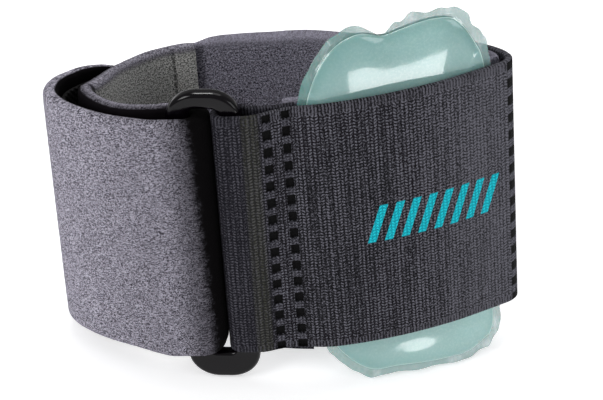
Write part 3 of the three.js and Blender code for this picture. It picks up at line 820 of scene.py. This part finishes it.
# The arm side of the inner run is the same cloth in a painted shade, greyer and greenish, and a stitched
# seam crosses it at the lap.
inner = travel.step(turn_travel + 10, turn_travel + 14)
is_inner_face = inner * face.step(0.5, 0.7) * (1 - up.step(72.5, 75.2))
inner_nap = cloth.noise(2.0, 4.0, 0.9).step(0.45, 0.555)
shade = (is_inner_face * 0.92).mix(shade, inner_nap.mix(colour(74, 74, 70), colour(222, 221, 218)))
from_seam = (travel - (strap_total - SEAM_FROM_END)).math("ABSOLUTE")
seam = 1 - from_seam.step(0.25, 0.6)
dash = (up * (1 / 2.6)).math("FRACT").step(0.22, 0.3)
thread = seam * dash * inner
shade = (seam * inner * 0.35 + thread * 0.35).mix(shade, colour(24, 24, 23))
# Painted light on the inner run's top rim, which faces up.
inner_rim_painted_light = up.step(73.2, 75.4) * inner * face.step(0.3, 0.6)
shade = (inner_rim_painted_light * 0.7).mix(shade, inner_nap.mix(colour(88, 85, 95), colour(188, 185, 198)))
normal = bump(from_seam.step(0.2, 1.6), 0.0006, 0.6, onto=normal)
feed(shader, Base_Color=shade, Normal=normal)
print("strap finish")

# %% [markdown]
# Heather knit: navy and grey yarns mixed, with painted light along the foam's rounded top rim.

# %% Lining finish
start, shader, shade, normal = brushed(
    pad, "lining heather knit", colour(190, 186, 206), colour(60, 56, 70), colour(14, 11, 19),
    colour(10, 9, 12), 0.0, heather=0.6)
_, up, cloth = uv_parts(start, "cloth")
patches = start.scaled(1, 1, 0.25).noise(90, 3.0, 0.6).step(0.3, 0.7)
shade = ((1 - patches) * 0.2).mix(shade, colour(34, 31, 44))
glints = cloth.noise(1.8, 3.0, 0.9).step(0.5, 0.57)
shade = (glints * 0.6).mix(shade, colour(208, 205, 222))
# The foam's rounded top rim is painted lighter, as light from above falls on it.
rim_light = up.step(71.5, 75.6)
shade = (rim_light * 0.7).mix(shade, colour(128, 125, 137))
feed(shader, Base_Color=shade, Normal=normal)
print("lining finish")

# %% [markdown]
# Hook tape: short nylon hooks in rows on a black ground.

# %% Hook finish
start, shader = finish_of(hook, "hook nylon", Roughness=0.8, Specular_IOR_Level=0.15)
along, up, _ = uv_parts(start, "cloth")
rows = (along * 3.4).math("SINE") * (up * 3.1).math("SINE")
feed(shader, Base_Color=rows.step(0.0, 0.9).mix(colour(6, 5, 6), colour(24, 21, 25)),
     Normal=bump(rows, 0.0004, 0.8))
print("hook finish")

# %% [markdown]
# Woven elastic: fine warp ribs with short floats and ribbed edges. All of it follows the
# cloth's own millimetres, so the ribs run on round the folds.

# %% Elastic weave
COLUMN, FLOAT_LENGTH, EDGE_RIB, SELVEDGE = 1.05, 0.92, 0.85, 2.5
start, shader = finish_of(elastic, "woven elastic", Roughness=0.85, Specular_IOR_Level=0.15)
along, up, cloth = uv_parts(start, "cloth")
wobble = cloth.noise(0.35, 2.0, 0.5) * 0.5
rib = ((along + wobble * 0.25) * (math.pi / COLUMN)).math("SINE").math("ABSOLUTE")
parity = (along * (0.5 / COLUMN)).math("FRACT").step(0.48, 0.52)
slope = (along * (1 / COLUMN)).math("FRACT") * 0.5
floats = (up * (1 / FLOAT_LENGTH) + parity * 0.5 + slope * (parity * 2 - 1)).math("FRACT")
float_mask = floats.step(0.1, 0.35) * (1 - floats.step(0.6, 0.9))
grain = start.noise(1700, 3.0, 0.8)
uneven = cloth.scaled(0.9, 0.03).noise(1.0, 2.0, 0.6).step(0.35, 0.65)
weave = rib * (0.2 + float_mask * 0.8)
edge = up.step(BAND_WIDTH - SELVEDGE - 0.2, BAND_WIDTH - SELVEDGE + 0.2)
edge = edge + (1 - up.step(SELVEDGE - 0.2, SELVEDGE + 0.2))
edge_rib = (along * (math.pi / EDGE_RIB)).math("SINE").math("ABSOLUTE")
height = weave * (1 - edge) + edge_rib * edge
dark, light = colour(8, 7, 13), colour(116, 115, 125)
olive = 1 - (along - (square_columns[0] + 4.2)).math("ABSOLUTE").step(0.8, 2.6)
sparks = cloth.noise(2.1, 3.0, 0.9)
# Painted light: the elastic's right end is painted lighter.
end_painted_light = 1 - along.step(6.0, 44.0)
tone = height * (0.16 + uneven * 0.2) + grain * 0.8 + sparks * 1.2 + end_painted_light * 0.1
shade = (tone.step(1.06, 1.33) * (0.8 - edge * 0.25)).mix(dark, light)
shade = (olive * 0.35 * (0.3 + weave)).mix(shade, colour(92, 94, 66))
near_fold = along.step(elastic_fold - 11, elastic_fold - 6)
shade = (near_fold * 0.5).mix(shade, colour(18, 17, 27))
# More painted light towards the right end.
far_end_painted_light = 1 - along.step(4.0, 30.0)
shade = (far_end_painted_light * 0.15).mix(shade, colour(84, 84, 90))
print("elastic weave, columns", COLUMN, "mm apart")

# %% [markdown]
# The ladder openings are painted black as painted shade, with a paler painted highlight on the
# threads between them. The tag stripe on the front is one plain row of slanted teal bars,
# woven in like the rest.

# %% Elastic openings and bars
face = uv_parts(start, "face")[0]
rows_up = (up - SQUARE_FIRST) / SQUARE_PITCH
row_off = ((rows_up + 0.5).math("FRACT") - 0.5).math("ABSOLUTE") * SQUARE_PITCH
tall = 1 - row_off.step(SQUARE_TALL / 2 - 0.15, SQUARE_TALL / 2 + 0.1)
between = row_off.step(SQUARE_TALL / 2 + 0.1, SQUARE_TALL / 2 + 0.3)
hole, ladder = 0.0, 0.0
for middle in square_columns:
    off = (along - middle).math("ABSOLUTE")
    wide = 1 - off.step(SQUARE_WIDE / 2 - 0.15, SQUARE_WIDE / 2 + 0.1)
    hole = wide * tall + hole
    ladder = wide * between + ladder
front = face.step(0.93, 0.97)
threads = ((up * (1 / 0.8)).math("FRACT") - 0.5).math("ABSOLUTE").step(0.1, 0.3)
# Painted highlight on the raised ladder threads, and painted shade that makes the openings black.
shade = (ladder * threads * front * 0.4).mix(shade, colour(84, 83, 92))
shade = (hole * front).mix(shade, colour(2, 2, 3))

BAR_PITCH, BAR_SHARE, BARS, BAR_HALF, BAR_SLANT, BARS_AT = 4.6, 0.5, 8, 5.6, 0.35, 51
bars_from = length_where(BARS_AT, True)
from_middle = up - BAND_WIDTH / 2
slant = (along - bars_from + from_middle * BAR_SLANT) / BAR_PITCH
inside = slant.step(-0.02, 0.0) * (1 - slant.step(BARS - 0.02, BARS))
stripe = 1 - slant.math("FRACT").step(BAR_SHARE - 0.03, BAR_SHARE + 0.03)
band_mask = 1 - from_middle.math("ABSOLUTE").step(BAR_HALF - 0.15, BAR_HALF + 0.15)
teal = inside * stripe * band_mask * front
stitches = (height * 0.5 + grain * 0.6).step(0.2, 0.8)
shade = teal.mix(shade, stitches.mix(colour(0, 140, 156), colour(30, 205, 220)))
height = height * (1 - hole * front * 0.8) + teal * 0.5
feed(shader, Base_Color=shade, Normal=bump(height + grain * 0.35, 0.00028, 0.9))
print("elastic finish, bars from", round(bars_from, 1))

# %% [markdown]
# Moulded plastic: near black, satin, with the faint grain of the mould.

# %% Buckle finish
start, shader = finish_of(buckle, "buckle plastic", Roughness=0.16, Specular_IOR_Level=0.22)
cloudy = start.noise(90, 3.0, 0.5)
fine = start.noise(900, 2.0, 0.5)
feed(shader, Base_Color=cloudy.mix(colour(3, 2, 4), colour(6, 3, 7)),
     Roughness=cloudy.step(0.2, 0.8) * 0.08 + 0.1, Normal=bump(fine, 0.00003, 0.4))
print("buckle finish")

# %% [markdown]
# Soft clear film over pale foam: it reads as a glossy teal skin, darker towards the left
# and the upper right, with a painted highlight along the weld line and a clearer rim.

# %% Air cell finish
start, shader = finish_of(cell, "cell film", Roughness=0.1, IOR=1.46, Coat_Weight=0.4,
                          Coat_Roughness=0.03, Subsurface_Weight=0.15, Subsurface_Scale=0.004)
share = uv_parts(start, "face")[0]
clouds = start.noise(38, 3.0, 0.5)
speck = start.noise(420, 2.0, 0.6)
body = clouds.step(0.3, 0.7).mix(colour(140, 178, 175), colour(152, 190, 186))
foam_grain = start.noise(1400, 3.0, 0.8)
body = (foam_grain.step(0.4, 0.7) * 0.22).mix(body, colour(196, 222, 219))
across, up_cell, _ = uv_parts(start, "cloth")
body = ((1 - across.step(-26.0, 10.0)) * 0.4).mix(body, colour(100, 142, 140))
body = (across.step(12.0, 25.0) * up_cell.step(10.0, 30.0) * 0.45).mix(body, colour(112, 150, 147))
body = (share.step(0.46, 0.5) * 0.3).mix(body, colour(92, 146, 142))
# A bright line along the weld: a painted highlight.
weld = 1 - (share - 0.515).math("ABSOLUTE").step(0.004, 0.02)
on_flange = share.step(0.53, 0.56)
rim_noise = start.scaled(1, 1, 0.4).noise(240, 3.0, 0.6)
flange_shade = rim_noise.step(0.45, 0.7).mix(colour(138, 176, 173), colour(200, 218, 219))
lines = ((share * 46).math("FRACT") - 0.5).math("ABSOLUTE").step(0.28, 0.42)
flange_shade = (lines * 0.5).mix(flange_shade, colour(104, 160, 154))
flange_shade = ((1 - across.step(-24.0, -6.0)) * 0.55).mix(flange_shade, colour(100, 164, 156))
shade = on_flange.mix(body, flange_shade)
shade = (weld * 0.8).mix(shade, colour(206, 236, 230))
ring = 1 - (share - 0.555).math("ABSOLUTE").step(0.004, 0.014)
shade = (ring * 0.6).mix(shade, colour(70, 132, 128))
feed(shader, Base_Color=shade, Normal=bump(speck * 0.4 + clouds, 0.0002, 0.25),
     Alpha=1 - on_flange * 0.45)
print("cell finish")

# %% [markdown]
# The camera stands where the photo was taken from, seen from the band's own frame. Its
# lens is as long as the photo's narrow perspective asks for.

# %% Camera
PHOTO_WIDTH, FOCAL_PIXELS, SENSOR = 603, 2000, 36
CAMERA_SPOT = Vector((21.91, -457.29, 327.3))
camera_data = bpy.data.cameras.new("camera")
camera = bpy.data.objects.new("camera", camera_data)
bpy.context.collection.objects.link(camera)
camera_data.sensor_width, camera_data.lens = SENSOR, FOCAL_PIXELS * SENSOR / PHOTO_WIDTH
right, up_axis = Vector((0.9972, 0, -0.0755)), Vector((0.0638, 0.5357, 0.8420))
back = right.cross(up_axis).normalized()
turned = Matrix((right, up_axis, back)).transposed().to_4x4()
view = REST @ Matrix.Translation(CAMERA_SPOT) @ turned
loc, rot, _ = view.decompose()
camera.matrix_world = Matrix.LocRotScale(loc, rot, (1, 1, 1))
camera_data.clip_start = 0.01
bpy.context.scene.camera = camera
print("camera", [round(v, 4) for v in loc])

# %% [markdown]
# The band rests on a pale floor under soft studio light: three broad lamps and a pale
# surround, so that the black parts stay deep and the nap shows.

# %% Floor and lamps
bpy.ops.mesh.primitive_plane_add(size=6, location=(0, 0, -0.0001))
floor = bpy.context.object
floor.name = "floor"
finish_of(floor, "floor", Base_Color=(0.93, 0.93, 0.94, 1), Roughness=0.9,
          Emission_Color=(1, 1, 1, 1), Emission_Strength=0.45)


def area_light(name, place, target, size, power, tint=(1, 1, 1), size_y=None):
    """A square or oblong lamp at a place, turned to its target."""
    data = bpy.data.lights.new(name, "AREA")
    data.shape, data.size, data.size_y = "RECTANGLE", size, size_y or size
    data.energy, data.color = power, tint
    lamp = bpy.data.objects.new(name, data)
    bpy.context.collection.objects.link(lamp)
    lamp.location = place
    lamp.rotation_euler = (Vector(target) - Vector(place)).to_track_quat("-Z", "Y").to_euler()
    return lamp


area_light("key", (-0.85, -0.65, 0.75), (0, 0, 0.04), 0.5, 6.5)
area_light("fill", (0.8, -0.5, 0.5), (0, 0, 0.05), 0.5, 2.4, (0.96, 0.98, 1.0))
area_light("top", (0.05, 0.35, 0.95), (0, 0, 0.05), 0.7, 3.2)
world = bpy.data.worlds.new("studio")
bpy.context.scene.world = world
world.use_nodes = True
world.node_tree.nodes["Background"].inputs[0].default_value = (1, 1, 1, 1)
world.node_tree.nodes["Background"].inputs[1].default_value = 0.36
bpy.context.scene.view_settings.view_transform = "Standard"
print("three lamps and a pale surround")

# %% [markdown]
# A small softbox is set where its mirror image falls on the upper front of the air cell,
# and a strip lamp lights the buckle's rounded rim. Both only show in what is glossy.

# %% Softbox and strip
SHINE_AT, SOFTBOX_AWAY = (11.5, 40.5), 0.5
near = min(((i, j) for i in range(4, RINGS) for j in range(SPOKES)),
           key=lambda ij: math.dist(SHINE_AT, swell_line[ij[1]] * cell_share(ij[0])))
shine = REST @ cell_point(*near)
edge_a = REST @ cell_point(near[0] + 2, near[1]) - REST @ cell_point(near[0] - 2, near[1])
edge_b = REST @ cell_point(near[0], near[1] + 3) - REST @ cell_point(near[0], near[1] - 3)
film_normal = edge_a.cross(edge_b).normalized()
look = (shine - loc).normalized()
film_normal *= -1 if film_normal.dot(look) > 0 else 1
bounce = look - 2 * look.dot(film_normal) * film_normal
print("softbox", [round(v, 3) for v in shine], "towards", [round(v, 3) for v in bounce])
softbox = area_light("softbox", shine + bounce * SOFTBOX_AWAY, shine, 0.085, 0.13, size_y=0.06)
strip_lamp = area_light("strip", (-0.12, 0.2, 0.9), (0, 0, 0.06), 0.32, 4.5, size_y=0.14)
for lamp in (softbox, strip_lamp):
    lamp.visible_diffuse = False

# %% [markdown]
